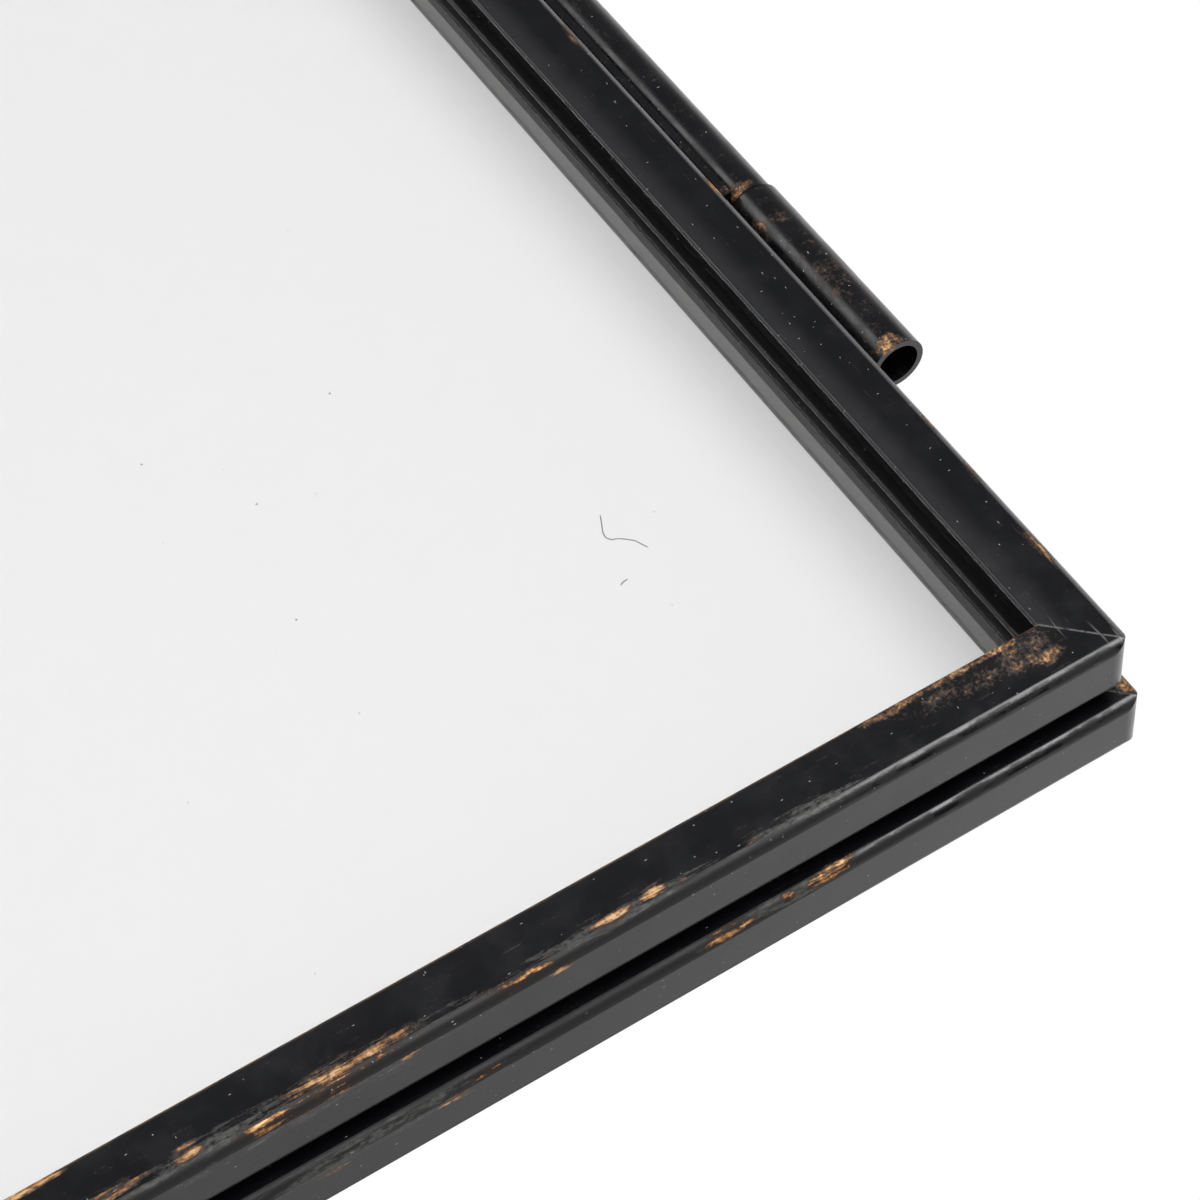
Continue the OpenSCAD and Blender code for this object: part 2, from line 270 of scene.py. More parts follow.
def along_rail(along, amount):
    """Draws a noise out along the rail: the smaller the amount, the longer the grain."""
    return (amount, 1.0, 1.0) if along == "x" else (1.0, amount, 1.0)


print("a stretch of 0.5 along x:", along_rail("x", 0.5))

# %% Grain
STREAK = 0.11
SOFT_STREAK = 0.4
STREAK_SHARE = 0.72
STREAK_BREAKS = (0.36, 0.64)
MOTTLE_BREAKS = (0.26, 0.74)
CLOUD_BREAKS = (0.3, 0.7)
CLOUD_DEPTH = (-0.26, 0.16)
FLECK_BREAKS = (0.36, 0.62)
FIBRE_BREAKS = (0.30, 0.58)


def add_grain(coat):
    """Adds fine grain, long streaks, round mottle, and the fibres and flecks of the brass."""
    coat.soft = along_rail(coat.along, SOFT_STREAK)
    coat.fine = noise(coat, scale=3.3, detail=5.0, rough=0.70)
    long = noise(coat, scale=3.0, detail=5.0, rough=0.62, stretch=along_rail(coat.along, STREAK))
    streaks = coat.math("ADD", coat.times(long, STREAK_SHARE), coat.times(coat.fine, 1.0 - STREAK_SHARE))
    coat.streaks = coat.ramp(streaks, *STREAK_BREAKS, smooth=False)
    clouds = coat.ramp(noise(coat, scale=0.9, detail=2.0, shift=(4, 0, 2)), *CLOUD_BREAKS, *CLOUD_DEPTH)
    coat.mottle = coat.math("ADD", coat.ramp(coat.fine, *MOTTLE_BREAKS, smooth=False), clouds)
    flecks = noise(coat, scale=5.5, detail=4.0, rough=0.7, stretch=(0.8, 0.8, 1), shift=(5, 5, 5))
    coat.flecks = coat.ramp(flecks, *FLECK_BREAKS)
    fibres = noise(coat, scale=4.4, detail=4.0, rough=0.66, stretch=coat.soft, shift=(5, 5, 5))
    coat.fibres = coat.ramp(fibres, *FIBRE_BREAKS)


print("streaks are", round(1 / STREAK, 1), "times as long as wide")

# %% [markdown]
# ## Lacquer: how far it is rubbed
#
# Where the lacquer is rubbed, it first thins to a brown film, then bare brass shows, and
# the most rubbed brass is pale and bright. Three separate masks would not line up. Here
# the wear is one number per point: grain of about 0 to 1, lowered by `UNTOUCHED` so that
# hardly anything shows, and raised again near each worn spot. The three stages are three
# ranges of that number.

# %% Wear
UNTOUCHED = -0.75
FILM = (0.06, 0.50)
BARE = (0.42, 0.76)
POLISHED = (0.70, 0.95)
BLOTCHES = (0.50, 0.66)
JUST_MORE = 0.001
SPOT_CORE = 0.25


def spot(coat, centre, reach):
    """1 in the core of the spot, falling to 0 at the reach along X, Y and Z."""
    off = coat.vector("SUBTRACT", coat.mm, centre)
    off = coat.vector("DIVIDE", off, reach)
    return coat.ramp(coat.vector("LENGTH", off), 1.0, SPOT_CORE)


def wear(coat, grain, spots):
    """Grain raised by the strongest spot here. A spot is a centre, a reach and a strength."""
    if not spots:
        return coat.math("ADD", grain, UNTOUCHED)
    here = [coat.times(spot(coat, centre, reach), strength) for centre, reach, strength in spots]
    return coat.math("ADD", grain, coat.math("ADD", coat.most(here), UNTOUCHED))


def rub_through(coat, rubs, patches):
    """Adds film, brass and pale: how much of each stage of wear shows."""
    blotch = coat.ramp(noise(coat, scale=0.45, rough=0.55, stretch=coat.soft), *BLOTCHES)
    bends = coat.times(coat.times(coat.fold, blotch), coat.amount.fold_wear)
    streaked = coat.math("ADD", wear(coat, coat.streaks, rubs), bends)
    worn = coat.math("MAXIMUM", streaked, wear(coat, coat.mottle, patches))
    worn = coat.math("MAXIMUM", worn, coat.math("ADD", coat.mottle, UNTOUCHED + coat.amount.all_over))
    mottled = coat.math("GREATER_THAN", worn, coat.math("ADD", streaked, JUST_MORE))
    breaks = coat.mix(mottled, coat.fibres, coat.flecks)
    coat.film = coat.ramp(worn, *FILM)
    coat.brass = coat.times(coat.ramp(worn, *BARE), breaks)
    coat.pale = coat.times(coat.ramp(worn, *POLISHED), breaks)


print("film from", FILM[0], "bare brass from", BARE[0], "polished from", POLISHED[0])

# %% [markdown]
# ## Lacquer: along the opening
#
# The inner edge of each face has its own marks. The flat beside the lip is painted
# lighter as a painted sheen, the brink shines less, a warm line of brass shows along its
# very edge, and the packing has chalked the lip underneath. These could be separate thin
# strips, but they are only colour, so they are painted by the distance from the opening's
# edge.

# %% Along the opening
# Bands in mm outwards from the opening's edge. The painted sheen on the lip fades out
# over its band. The other marks begin at the first number of theirs and are full at the
# second.
LIP_SHEEN_BAND = (0.3, 2.6)
BRINK_BAND = (1.0, 0.6)
UNDER_BAND = (0.5, 0.4)
RIM_BAND = (0.30, 0.08)
# In mm above the back of the frame.
UNDER_HEIGHT = (1.3, 1.1)
# How level the surface has to be.
LEVEL = (0.97, 0.995)
ROUNDED = (0.999, 0.98)
UPWARD = (0.2, 0.6)
RIM_BREAKS = (0.34, 0.60)


def mark_opening(coat):
    """Adds lip, a painted sheen, and brink, under and brim: marks at the face's inner edge."""
    across = 1 if coat.along == "x" else 0
    inner = coat.math("ABSOLUTE", coat.math("ADD", coat.split(coat.mm)[across], -CENTRE[across]))

    def band(limits, first=0.0, last=1.0):
        return coat.ramp(inner, *[OPENING[across] + limit for limit in limits], first, last)

    # The lip mask paints a sheen: the flat is lighter near the opening's edge.
    coat.lip = coat.times(band(LIP_SHEEN_BAND, coat.amount.lip, 0.0), coat.ramp(coat.up, *LEVEL))
    coat.brink = coat.times(band(BRINK_BAND), coat.ramp(coat.up, *ROUNDED))
    chalked = coat.times(band(UNDER_BAND), coat.ramp(coat.split(coat.mm)[2], *UNDER_HEIGHT))
    coat.under = coat.times(chalked, coat.amount.back_lip)
    patchy = coat.ramp(noise(coat, scale=1.6, detail=4.0, rough=0.65, stretch=coat.soft), *RIM_BREAKS)
    rim = coat.times(band(RIM_BAND), patchy)
    coat.brim = coat.times(coat.times(rim, coat.ramp(coat.up, *UPWARD)), coat.amount.brim)


print("opening's edges from its middle, in mm:", OPENING)

# %% [markdown]
# ## Lacquer: the mitre
#
# Two rails meet at 45 degrees, are soldered and filed flush. What is left is a thin
# broken seam and a few file strokes across it. The gap is too fine to model, so it is
# painted where a point is as far from one inner edge as from the other.

# %% Mitre
SEAM = (0.16, 0.03)
SEAM_BREAKS = (0.36, 0.56)
FILE_REACH = (1.6, 0.2)
FILE_BREAKS = (0.63, 0.68)
FILE_DEPTH = 0.6


def mark_mitre(coat):
    """Adds mitre: the seam and the file strokes beside it."""
    places = coat.split(coat.mm)
    from_x, from_y = [coat.math("ABSOLUTE", coat.math("ADD", places[i], -CENTRE[i])) for i in range(2)]
    longer = OPENING[1] - OPENING[0]
    off = coat.math("ABSOLUTE", coat.math("SUBTRACT", coat.math("SUBTRACT", from_y, longer), from_x))
    seam = coat.times(coat.ramp(off, *SEAM), coat.ramp(coat.fine, *SEAM_BREAKS))
    strokes = noise(coat, scale=2.6, detail=2.0, rough=0.4, stretch=(1.6, 0.10, 1), shift=(3, 9, 0))
    files = coat.times(coat.ramp(strokes, *FILE_BREAKS), coat.ramp(off, *FILE_REACH))
    coat.mitre = coat.most([seam, coat.times(files, FILE_DEPTH)])


print("file strokes reach", FILE_REACH[0], "mm along the rail from the seam")

# %% [markdown]
# ## Lacquer: scuffed bends
#
# Handling has matted the bends, so they mirror the light in broken pieces. On the long
# bend of the bottom rail this is strongest away from the corner. A rougher surface alone
# would make the highlight wide and pale, so the reflection is weakened too.

# %% Scuffs
SCUFF_BREAKS = (0.40, 0.58)
WIDE_BEND = (0.02, 0.10)
SHARP_UNTIL = 18.5
DULL_FROM = 30.5
DULLED = 0.92
REFLECTION = 0.5
LESS_BY_SCUFF = 0.36
LESS_BY_BRINK = 0.22


def scuff_bends(coat):
    """Adds scuff and weakens the shader's reflection by it."""
    broken = noise(coat, scale=0.9, detail=5.0, rough=0.65, stretch=coat.soft, shift=(2, 2, 8))
    scuff = coat.times(coat.fold, coat.ramp(broken, *SCUFF_BREAKS))
    if coat.along == "x":
        corner = LEAVES["front"].high[0]
        far = coat.ramp(coat.split(coat.mm)[0], corner - SHARP_UNTIL, corner - DULL_FROM, 0.0, DULLED)
        scuff = coat.math("MAXIMUM", scuff, coat.times(coat.ramp(coat.tilt, *WIDE_BEND), far))
    coat.scuff = coat.times(scuff, coat.amount.scuffs)
    less = coat.math("MAXIMUM", coat.times(coat.scuff, LESS_BY_SCUFF), coat.times(coat.brink, LESS_BY_BRINK))
    coat.give("Specular IOR Level", coat.math("SUBTRACT", REFLECTION, less))


print("bottom bend dull from", DULL_FROM, "mm left of the corner")

# %% [markdown]
# ## Lacquer: dust
#
# Short fibres and grains of dust lie on everything. They could be scattered as meshes,
# but each is only about a tenth of a millimetre wide. So they are specks in the colour:
# two sets of cells drawn out along X and along Y, and one set of round cells.

# %% Dust
DUST_COVER = 0.6
SPECK_CORE = 0.6


def specks(coat, scale, size, share, stretch=(1, 1, 1)):
    """Sparse specks: cells 1/scale mm wide, of which a share holds a speck."""
    cell = coat.tree.nodes.new("ShaderNodeTexVoronoi")
    cell.inputs["Scale"].default_value = scale
    coat.link(coat.vector("MULTIPLY", coat.mm, stretch), cell.inputs["Vector"])
    chosen = coat.split(cell.outputs["Color"])[0]
    near = coat.ramp(cell.outputs["Distance"], size, size * SPECK_CORE)
    return coat.times(near, coat.math("LESS_THAN", chosen, share))


def add_dust(coat):
    """Adds dust: fibres lying both ways and round grains."""
    along_x = specks(coat, scale=1.3, size=0.08, share=0.34, stretch=(0.5, 1.5, 1))
    along_y = specks(coat, scale=1.1, size=0.07, share=0.26, stretch=(1.6, 0.5, 1))
    grains = specks(coat, scale=0.7, size=0.05, share=0.50)
    coat.dust = coat.times(coat.most([along_x, along_y, grains]), DUST_COVER * coat.amount.specks)


print("dust covers what is under it by", DUST_COVER)

# %% [markdown]
# ## Lacquer: the colours, one over another
#
# A maker would see black lacquer first and then everything that lies on it or shows
# through it. The colours are laid in that order, each through its own mask, with dust last,
# and among them a painted sheen on the lips and a painted highlight on the bends. A single
# ramp of colours could not hold them, because they lie in different places.

# %% Colours
BLACK = (0.0038, 0.0041, 0.0054, 1)
# The next colour is a painted sheen for the flat beside the opening.
PAINTED_LIP_SHEEN = (0.045, 0.045, 0.047, 1)
# The next colour is a painted highlight along the outer bends.
PAINTED_FOLD_HIGHLIGHT = (0.17, 0.17, 0.175, 1)
CHALK = (0.24, 0.24, 0.235, 1)
FILED = (0.15, 0.146, 0.142, 1)
SCUFFED = (0.021, 0.021, 0.021, 1)
BRIM = (0.20, 0.10, 0.042, 1)
SCRATCHED = (0.090, 0.090, 0.085, 1)
BROWN = (0.030, 0.018, 0.014, 1)
BRASS = (0.50, 0.235, 0.085, 1)
PALE = (0.80, 0.53, 0.28, 1)
DUST = (0.42, 0.42, 0.43, 1)
# Share of the painted highlight on the bend that is taken off at the brink.
HIGHLIGHT_LOST_AT_BRINK = 0.75
SCRATCHES = (0.15, 0.75)


def lay_colours(coat, greys):
    """Lays the colours one over another and gives the result to the shader."""
    # outer: the bends, less at the brink; the painted highlight goes there.
    outer = coat.times(coat.fold, coat.math("SUBTRACT", 1.0, coat.times(coat.brink, HIGHLIGHT_LOST_AT_BRINK)))
    layers = [(coat.lip, PAINTED_LIP_SHEEN), (coat.times(outer, coat.amount.line), PAINTED_FOLD_HIGHLIGHT), (coat.under, CHALK),
              (coat.mitre, FILED), (coat.scuff, SCUFFED), (coat.brim, BRIM)]
    if greys:
        scratched = coat.ramp(wear(coat, coat.streaks, greys), *SCRATCHES)
        layers.append((coat.times(scratched, coat.fibres), SCRATCHED))
    layers += [(coat.film, BROWN), (coat.brass, BRASS), (coat.pale, PALE), (coat.dust, DUST)]
    colour = BLACK
    for share, paint in layers:
        colour = coat.mix(share, colour, paint)
    coat.give("Base Color", colour)


print("black lacquer", BLACK[:3], "brass", BRASS[:3])

# %% [markdown]
# ## Lacquer: gloss and relief
#
# Brushed lacquer is glossy with a faint orange peel, smeared by handling, matt where it
# is worn thin or dusty, and bare brass lies a little lower. The relief is far too small
# for the mesh, so it only tilts the shading.

# %% Gloss and relief
LACQUER_IOR = 1.56
METAL_SHARE = 0.5
SMEARS = (0.35, 0.7)
GLOSS = (0.17, 0.26)
ROUGH_FILM = 0.16
ROUGH_SCUFF = 0.26
ROUGH_DUST = 0.3
PEEL = 0.8
BRASS_LOWER = 0.5
RELIEF = 0.10
RELIEF_DEPTH = 0.00004


def bump(coat, height, strength, distance):
    """Dents the shading by a height, at most by the distance in metres."""
    node = coat.tree.nodes.new("ShaderNodeBump")
    node.inputs["Strength"].default_value = strength
    node.inputs["Distance"].default_value = distance
    coat.link(height, node.inputs["Height"])
    coat.give("Normal", node.outputs[0])


def gloss_and_relief(coat):
    """Sets metal, roughness and bump from the masks."""
    coat.give("Metallic", coat.times(coat.brass, METAL_SHARE))
    coat.give("IOR", LACQUER_IOR)
    smears = noise(coat, scale=0.30, detail=4.0, rough=0.6, shift=(7, 3, 1))
    rough = coat.ramp(smears, *SMEARS, *GLOSS)
    rough = coat.math("ADD", rough, coat.times(coat.film, ROUGH_FILM))
    rough = coat.math("ADD", rough, coat.times(coat.scuff, ROUGH_SCUFF))
    coat.give("Roughness", coat.math("ADD", rough, coat.times(coat.dust, ROUGH_DUST), clamp=True))
    peel = coat.times(noise(coat, scale=1.1, detail=2.0), PEEL * coat.amount.scuffs)
    grit = coat.times(noise(coat, scale=5.0, rough=0.6), coat.times(coat.fold, coat.amount.pits))
    height = coat.math("SUBTRACT", coat.math("ADD", peel, grit), coat.times(coat.brass, BRASS_LOWER))
    bump(coat, height, RELIEF, RELIEF_DEPTH)


print("roughness of clean lacquer:", GLOSS)

# %% [markdown]
# ## Lacquer: the whole finish
#
# All rails and fittings have the same lacquer, worn in different amounts. One material
# for all would be worn alike everywhere, and a material made by hand for each would be
# hard to keep in step. So one function builds it from the steps above and takes the
# amounts: `fold_wear` and `all_over` for brass, `lip` for the painted sheen on the lip,
# `pits` for the roughness of the bends, `specks` for dust, `scuffs` for matted bends,
# `line` for the painted highlight on the bends, `back_lip` for the chalked lip and `brim`
# for the brass at the edge.

# %% The whole finish
PLAIN = dict(fold_wear=0.0, all_over=0.0, lip=0.0, pits=0.1, specks=1.0, scuffs=1.0, line=0.0,
             back_lip=0.0, brim=0.0)


def lacquer(name, along, rubs=(), patches=(), greys=(), **amounts):
    """Black lacquer on a rail along x or y: rubs are streaks, patches mottled, greys scratched."""
    coat = Paint(name)
    coat.along = along
    coat.amount = SimpleNamespace(**{**PLAIN, **amounts})
    find_bends(coat)
    add_grain(coat)
    rub_through(coat, rubs, patches)
    mark_opening(coat)
    mark_mitre(coat)
    scuff_bends(coat)
    add_dust(coat)
    lay_colours(coat, greys)
    gloss_and_relief(coat)
    return coat.material


print("amounts of a plain finish:", PLAIN)

# %% [markdown]
# ## Marks on a rail
#
# A mark of wear is easiest to measure along the rail, in from its outer wall and down
# from its face. The shader needs it in the part's frame. One function turns the first
# into the second for any rail, so that a mark stays on its fold if the frame is resized.

# %% Marks on a rail
def on_rail(leaf, side, marks):
    """Spots from marks on one rail. A mark is (along X or Y, in from the wall, down from
    the face), its reach in the same three directions, and its strength."""
    low_x, low_y, _ = LEAVES[leaf].low
    high_x, high_y, face = LEAVES[leaf].high
    spots = []
    for (place, inset, drop), (length, width, depth), strength in marks:
        across = {"bottom": low_y + inset, "top": high_y - inset,
                  "left": low_x + inset, "right": high_x - inset}[side]
        if side in ("bottom", "top"):
            spots.append(((place, across, face - drop), (length, width, depth), strength))
        else:
            spots.append(((across, place, face - drop), (width, length, depth), strength))
    return spots


example = on_rail("front", "right", [((0, 1, 0), (1, 1, 1), 1)])[0][0]
print("a mark 1 mm in on the front right rail lies at", [round(value, 2) for value in example])

# %% [markdown]
# ## Front leaf: streaks on the bottom and top rails
#
# The bottom rail carries most of the wear that the photograph shows, above all brass
# streaks along its outer fold. Scattered by a noise they would be as dense and as long as
# on the real rail, but in other places. So each was measured and is listed. The top rail
# can't be seen; it has a few of the same kind.

# %% Streaks on the bottom and top rails
front_bottom_rubs = [
    ((-7.0, 1.32, 0.0), (5.5, 1.0, 1.2), 0.80),
    ((-1.0, 1.32, 0.0), (1.9, 1.0, 1.2), 0.98),
    ((4.2, 0.52, 0.3), (3.6, 0.8, 1.0), 0.82),
    ((9.5, 1.12, 0.1), (6.5, 1.2, 1.2), 0.94),
    ((13.6, 1.12, 0.1), (4.4, 1.0, 1.2), 0.86),
    ((9.0, 0.02, 0.7), (6.5, 0.6, 0.9), 0.68),
    ((15.0, 0.02, 1.0), (1.6, 0.5, 0.7), 0.84),
    ((24.0, 0.62, 0.3), (6.5, 0.8, 0.9), 0.80),
    ((27.2, 0.02, 0.9), (2.2, 0.6, 0.7), 0.84),
    ((31.5, 1.02, 0.1), (2.8, 0.8, 1.0), 0.90),
    ((34.8, 1.22, 0.1), (1.9, 0.9, 1.0), 1.02),
    ((37.2, 0.82, 0.2), (1.8, 0.5, 0.8), 0.68),
    ((42.8, 0.92, 0.1), (1.4, 0.4, 0.8), 0.58),
    ((-10.5, 4.82, 0.0), (3.6, 0.9, 1.2), 1.00),
    ((-20.0, 0.92, 0.1), (8.0, 0.9, 1.2), 0.82),
    ((-44.0, 1.02, 0.1), (9.0, 0.9, 1.2), 0.84),
    ((-66.0, 0.72, 0.3), (6.0, 0.8, 1.1), 0.80),
]
front_top_rubs = [
    ((-58.0, 0.78, 0.2), (9.0, 0.9, 1.2), 0.84),
    ((-12.0, 0.88, 0.1), (7.0, 0.9, 1.2), 0.76),
    ((30.0, 0.78, 0.2), (12.0, 0.8, 1.2), 0.86),
    ((66.0, 0.68, 0.3), (6.0, 0.8, 1.1), 0.82),
]
front_x_rubs = on_rail("front", "bottom", front_bottom_rubs) + on_rail("front", "top", front_top_rubs)
print("streaks:", len(front_x_rubs))

# %% [markdown]
# ## Front leaf: patches beside the mitres
#
# Where the mitre was filed flush, the lacquer on the bottom rail is rubbed off in a broad
# mottled patch, darkest at the inner edge. One big round spot would look stamped. A few
# small ones that overlap give it a ragged outline.

# %% Patches beside the mitres
front_bottom_patches = [
    ((63.5, 4.77, 0.0), (9.0, 0.8, 1.5), 0.94),
    ((56.5, 4.72, 0.0), (5.0, 0.9, 1.5), 0.80),
    ((62.5, 3.52, 0.0), (8.5, 1.5, 1.5), 0.53),
    ((62.5, 2.72, 0.0), (3.5, 0.9, 1.5), 0.56),
    ((67.2, 3.42, 0.0), (5.0, 2.2, 1.5), 0.58),
    ((66.6, 2.72, 0.0), (2.2, 0.8, 1.5), 0.68),
    ((68.6, 2.22, 0.0), (2.4, 1.1, 1.5), 0.80),
    ((-70.5, 3.52, 0.0), (3.6, 1.6, 1.5), 0.62),
]
front_top_patches = [
    ((-69.5, 3.28, 0.0), (4.5, 1.8, 1.5), 0.64),
    ((70.0, 3.08, 0.0), (3.0, 1.6, 1.5), 0.60),
]
front_x_patches = (on_rail("front", "bottom", front_bottom_patches)
                   + on_rail("front", "top", front_top_patches))
print("patches:", len(front_x_patches))

# %% [markdown]
# ## Putting a material on a piece
#
# Several pieces share a finish, so one function puts it on each of them and prints
# which pieces got it.

# %% Putting a material on a piece
def wear_it(names, material):
    """Puts a material on CAD nodes and prints their names."""
    for name in names:
        piece = nodes[name]
        piece.data.materials.clear()
        piece.data.materials.append(material)
    print(material.name, "on", ", ".join(names))


print("pieces to finish:", len(nodes))

# %% [markdown]
# ## Front leaf: grey scratches, and the finish of the two rails
#
# Between the brass streaks the fold is scratched grey, where the lacquer is scuffed but
# not worn through. These are long bands, broken up by the same fibres as the brass, so
# that grey and brass belong together.

# %% Grey scratches and the finish
front_bottom_greys = [
    ((4.0, 1.02, 0.1), (24.0, 1.1, 1.2), 0.80),
    ((32.0, 0.92, 0.1), (12.0, 1.0, 1.2), 0.82),
    ((47.0, 0.92, 0.1), (9.0, 0.9, 1.1), 0.84),
    ((8.0, 0.02, 1.2), (20.0, 0.7, 1.2), 0.56),
]
front_top_greys = [((10.0, 0.88, 0.1), (50.0, 0.9, 1.1), 0.72)]
front_x_greys = on_rail("front", "bottom", front_bottom_greys) + on_rail("front", "top", front_top_greys)

# lip paints a faint sheen on the flat beside the opening.
front_x = lacquer("front_lacquer_x", "x", front_x_rubs, front_x_patches, front_x_greys,
                  fold_wear=0.20, lip=0.05, pits=1.6, brim=0.8)
wear_it(["front_rail_bottom", "front_rail_top"], front_x)

# %% [markdown]
# ## Front leaf: left and right rails
#
# The right rail is rubbed less: a few short streaks along the hinge side. Its bend carries
# a painted highlight, a pale line, and its inner lip has a painted sheen, the lightest part
# of the black, which a wider highlight could not give. The left rail can't be seen and has
# longer streaks.

# %% Front left and right rails
front_right_rubs = [
    ((-97.8, 0.52, 0.2), (3.4, 0.7, 0.9), 0.76),
    ((-89.4, 0.52, 0.2), (2.2, 0.7, 0.9), 0.70),
    ((-84.0, 0.42, 0.2), (1.9, 0.6, 0.9), 0.72),
    ((-54.0, 0.22, 0.4), (2.6, 0.7, 1.0), 1.00),
    ((-33.5, 0.52, 0.2), (3.4, 0.6, 0.9), 0.66),
    ((64.0, 0.52, 0.2), (8.0, 0.8, 1.0), 0.78),
]
front_left_rubs = [
    ((-86.0, 0.78, 0.2), (9.0, 0.9, 1.1), 0.84),
    ((-22.0, 0.78, 0.2), (6.0, 0.8, 1.1), 0.78),
    ((40.0, 0.78, 0.2), (11.0, 0.9, 1.1), 0.84),
    ((80.0, 0.58, 0.4), (5.0, 0.9, 1.1), 0.80),
]
front_y_rubs = on_rail("front", "right", front_right_rubs) + on_rail("front", "left", front_left_rubs)

# lip paints a sheen on the flat beside the opening, and line a pale highlight along the bend; both are
# painted light.
front_y = lacquer("front_lacquer_y", "y", front_y_rubs, fold_wear=0.30, lip=0.42, scuffs=0.2, line=0.75)
wear_it(["front_rail_left", "front_rail_right"], front_y)

# %% [markdown]
# ## Rear leaf: bottom and top rails
#
# The rear leaf is the same channel, a little larger, so its outer fold shows below the
# front one. It has a few streaks there, placed by measure as on the front leaf, and one
# bare spot on the lower right corner, where the frame is set down.

# %% Rear bottom and top rails
rear_corner = on_rail("rear", "bottom", [((75.0, 1.62, 0.0), (1.5, 1.7, 1.4), 0.90)])
rear_bottom_rubs = [
    ((48.8, 0.42, 0.1), (3.8, 0.9, 0.9), 0.88),
    ((39.8, 0.32, 0.3), (3.4, 0.9, 1.0), 0.82),
    ((44.6, 0.42, 0.1), (1.0, 0.6, 0.8), 0.82),
    ((17.4, 0.02, 1.0), (3.0, 0.6, 0.8), 0.74),
    ((20.0, 0.12, 0.4), (2.2, 0.5, 0.6), 0.66),
    ((7.6, 0.02, 1.6), (2.6, 0.5, 1.4), 0.56),
    ((-28.0, 0.22, 0.3), (8.0, 0.8, 1.0), 0.78),
    ((-62.0, 0.32, 0.2), (7.0, 0.8, 1.0), 0.84),
]
rear_top_rubs = [
    ((-36.0, 0.28, 0.4), (9.0, 0.8, 1.1), 0.80),
    ((52.0, 0.28, 0.3), (7.0, 0.8, 1.1), 0.82),
]
rear_bottom_greys = [
    ((44.0, 0.32, 0.2), (11.0, 0.9, 0.9), 0.80),
    ((12.0, 0.22, 0.6), (18.0, 0.8, 1.2), 0.72),
]
rear_top_greys = [((0.0, 0.38, 0.3), (50.0, 0.8, 1.0), 0.66)]
rear_x_rubs = on_rail("rear", "bottom", rear_bottom_rubs) + on_rail("rear", "top", rear_top_rubs)
rear_x_greys = on_rail("rear", "bottom", rear_bottom_greys) + on_rail("rear", "top", rear_top_greys)

rear_x = lacquer("rear_lacquer_x", "x", rear_x_rubs, rear_corner, rear_x_greys, fold_wear=0.24, pits=1.6)
wear_it(["rear_rail_bottom", "rear_rail_top"], rear_x)

# %% [markdown]
# ## Rear leaf: left and right rails
#
# Through the glass one looks down on the lip that holds the rear pane. Its face is painted
# lighter, as painted light that falls on it through the glass. Its packing has rubbed the lip
# underneath grey, which no wear of the outside could give, so that has an amount of its own.

# %% Rear left and right rails
rear_left_rubs = [
    ((-70.0, 0.38, 0.3), (9.0, 0.8, 1.0), 0.80),
    ((22.0, 0.38, 0.3), (7.0, 0.8, 1.0), 0.80),
]
rear_right_rubs = [((72.0, 0.32, 0.3), (9.0, 0.8, 1.0), 0.78)]
rear_y_rubs = on_rail("rear", "left", rear_left_rubs) + on_rail("rear", "right", rear_right_rubs)

# lip paints the face beside the opening lighter, as painted light through the glass; line paints a faint
# highlight on the bends.
rear_y = lacquer("rear_lacquer_y", "y", rear_y_rubs, rear_corner, fold_wear=0.30, lip=0.8, scuffs=0.2,
                 line=0.2, back_lip=0.9)
wear_it(["rear_rail_left", "rear_rail_right"], rear_y)

# %% [markdown]
# ## Solder in the corners
#
# Inside each corner a fillet of solder joins the two channels. It was lacquered with the
# leaf, so it could share a rail's material, but a material of its own lets someone show it
# as bare solder later.

# %% Solder
solder = lacquer("lacquered_solder", "x", fold_wear=0.2, all_over=0.1)
wear_it(["front_corner_solder", "rear_corner_solder"], solder)

# %% [markdown]
# ## Hinge knuckles
#
# The knuckles are rolled from the same sheet and turn against each other, so their ends
# are rubbed bright and their backs are speckled with brass. The marks are measured from
# the pin's axis and from the lower knuckle's mouth, because a knuckle has no face to
# measure from.

# %% Knuckles
PIN = box_mm(["hinge_pin"])
PIN_X = (PIN.low[0] + PIN.high[0]) / 2
PIN_Z = (PIN.low[2] + PIN.high[2]) / 2
MOUTH = box_mm(["hinge_knuckle_lower"]).low[1]
# Left of the axis, on from the mouth and above the axis; reach along X, Y and Z; strength.
knuckle_marks = [
    ((0.42, 0.57, 2.1), (2.0, 1.5, 1.8), 0.90),
    ((1.42, 0.97, 1.5), (0.9, 2.6, 1.4), 0.64),
    ((1.02, 20.87, 2.1), (2.3, 1.2, 2.0), 0.94),
    ((1.82, 21.57, 1.7), (1.0, 1.9, 1.4), 0.92),
    ((1.62, 16.17, 1.7), (0.8, 2.6, 1.2), 0.70),
    ((0.82, 7.57, 2.1), (1.4, 1.6, 1.4), 0.62),
    ((0.02, 9.57, 2.2), (2.4, 9.5, 1.6), 0.42),
    ((0.02, 16.07, 2.2), (1.4, 1.6, 1.4), 0.62),
]
knuckle_patches = []
for (left, along, above), reach, strength in knuckle_marks:
    knuckle_patches.append(((PIN_X - left, MOUTH + along, PIN_Z + above), reach, strength))

knuckles = lacquer("fitting_lacquer_y", "y", patches=knuckle_patches, all_over=0.20, pits=0.6,
                   specks=1.6, scuffs=0.3)
wear_it(["hinge_knuckle_lower", "hinge_knuckle_middle", "hinge_knuckle_upper"], knuckles)

# %% [markdown]
# ## Hook, stud, eye and ring
#
# These small parts are handled most, so they are worn lightly all over. They don't show
# in the photograph, so no mark on them is placed by measure.

